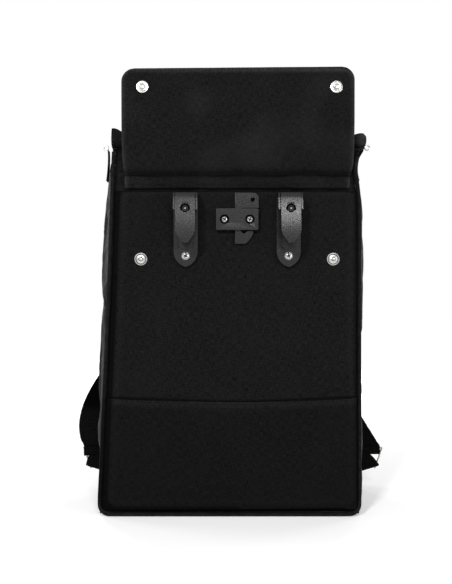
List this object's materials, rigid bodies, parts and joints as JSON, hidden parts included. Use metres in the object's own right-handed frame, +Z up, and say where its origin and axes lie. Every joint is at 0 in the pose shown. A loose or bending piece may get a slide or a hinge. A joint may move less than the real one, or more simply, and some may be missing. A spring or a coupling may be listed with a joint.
{
  "type": "pannier bag",
  "caption": "Tall canvas bicycle pannier and backpack with rack hooks, a sliding stabiliser, a snap-down hook cover flap, a rolled top and shoulder straps.",
  "frame": {"origin": "middle of the base, on the surface that the bag stands on", "axes": "+Z up, +Y from the rack side to the side with the shoulder straps, +X to the right seen from the rack side"},
  "size_m": [0.3822, 0.209, 0.4995],
  "materials": {
    "canvas": "black fine-weave canvas, matte",
    "webbing": "black ribbed webbing, matte",
    "moulded": "fine-grained black nylon",
    "nickel": "nickel plated, bright",
    "board": "plain polyethylene sheet"
  },
  "bodies": {
    "bag": {"back_panel": "canvas", "back_collar": "canvas", "lower_panel": "canvas", "back_piping": "canvas", "left_gusset": "canvas", "right_gusset": "canvas", "front_panel": "canvas", "front_piping": "canvas", "base_panel": "canvas", "stiffener_board": "board", "left_hook_base": "moulded", "right_hook_base": "moulded", "left_hook_arm": "moulded", "right_hook_arm": "moulded", "hook_screws": "nickel", "hook_nuts": "nickel", "hook_backing_plates": "nickel", "stabiliser_clamp": "moulded", "stabiliser_screws": "nickel", "stabiliser_nuts": "nickel", "panel_snap_studs": "nickel", "panel_snap_washers": "nickel", "strap_yoke": "canvas", "left_shoulder_strap": "canvas", "right_shoulder_strap": "canvas", "left_strap_adjuster": "moulded", "right_strap_adjuster": "moulded", "left_strap_webbing": "webbing", "right_strap_webbing": "webbing", "left_strap_tab": "webbing", "right_strap_tab": "webbing"},
    "flap_root": {"flap_root": "canvas"},
    "flap": {"flap_panel": "canvas", "flap_snap_sockets": "nickel", "flap_snap_caps": "nickel"},
    "cover": {"top_cover": "canvas", "cover_roll": "canvas", "left_side_strap": "webbing", "right_side_strap": "webbing", "left_side_ring": "nickel", "right_side_ring": "nickel"},
    "left_jaw": {"left_tube_jaw": "moulded"},
    "right_jaw": {"right_tube_jaw": "moulded"},
    "left_screw": {"left_adjusting_screw": "nickel"},
    "right_screw": {"right_adjusting_screw": "nickel"},
    "stabiliser": {"stabiliser_blade": "moulded"},
    "left_ring": {"left_strap_ring": "nickel"},
    "right_ring": {"right_strap_ring": "nickel"}
  },
  "joints": [
    {"name": "flap_fold", "type": "hinge", "parent": "bag", "child": "flap_root", "pos_m": [0, -0.0685, 0.3649], "axis": [1, 0, 0], "range_deg": [0, 90]},
    {"name": "flap_crease", "type": "hinge", "parent": "flap_root", "child": "flap", "pos_m": [0, -0.0671, 0.39687], "axis": [1, 0, 0], "range_deg": [0, 90]},
    {"name": "cover_hinge", "type": "hinge", "parent": "bag", "child": "cover", "pos_m": [0, 0.066, 0.412], "axis": [-1, 0, 0], "range_deg": [0, 110]},
    {"name": "left_jaw_slide", "type": "slide", "parent": "bag", "child": "left_jaw", "axis": [0, 1, 0], "range_m": [0, 0.005]},
    {"name": "left_screw_turn", "type": "hinge", "parent": "left_jaw", "child": "left_screw", "pos_m": [-0.057, -0.0957, 0.34], "axis": [0, 1, 0], "range_deg": [0, 720]},
    {"name": "right_jaw_slide", "type": "slide", "parent": "bag", "child": "right_jaw", "axis": [0, 1, 0], "range_m": [0, 0.005]},
    {"name": "right_screw_turn", "type": "hinge", "parent": "right_jaw", "child": "right_screw", "pos_m": [0.057, -0.0957, 0.34], "axis": [0, 1, 0], "range_deg": [0, 720]},
    {"name": "stabiliser_slide", "type": "slide", "parent": "bag", "child": "stabiliser", "axis": [-1, 0, 0], "range_m": [0, 0.007]},
    {"name": "left_ring_swing", "type": "hinge", "parent": "bag", "child": "left_ring", "pos_m": [-0.175, 0.048, 0.052], "axis": [1, 0, 0], "range_deg": [-4, 4]},
    {"name": "right_ring_swing", "type": "hinge", "parent": "bag", "child": "right_ring", "pos_m": [0.175, 0.048, 0.052], "axis": [1, 0, 0], "range_deg": [-4, 4]}
  ],
  "couplings": [
    {"joint": "flap_crease", "follows": "flap_fold", "ratio": 1},
    {"joint": "left_screw_turn", "follows": "left_jaw_slide", "rad_per_m": 2513},
    {"joint": "right_screw_turn", "follows": "right_jaw_slide", "rad_per_m": 2513}
  ]
}
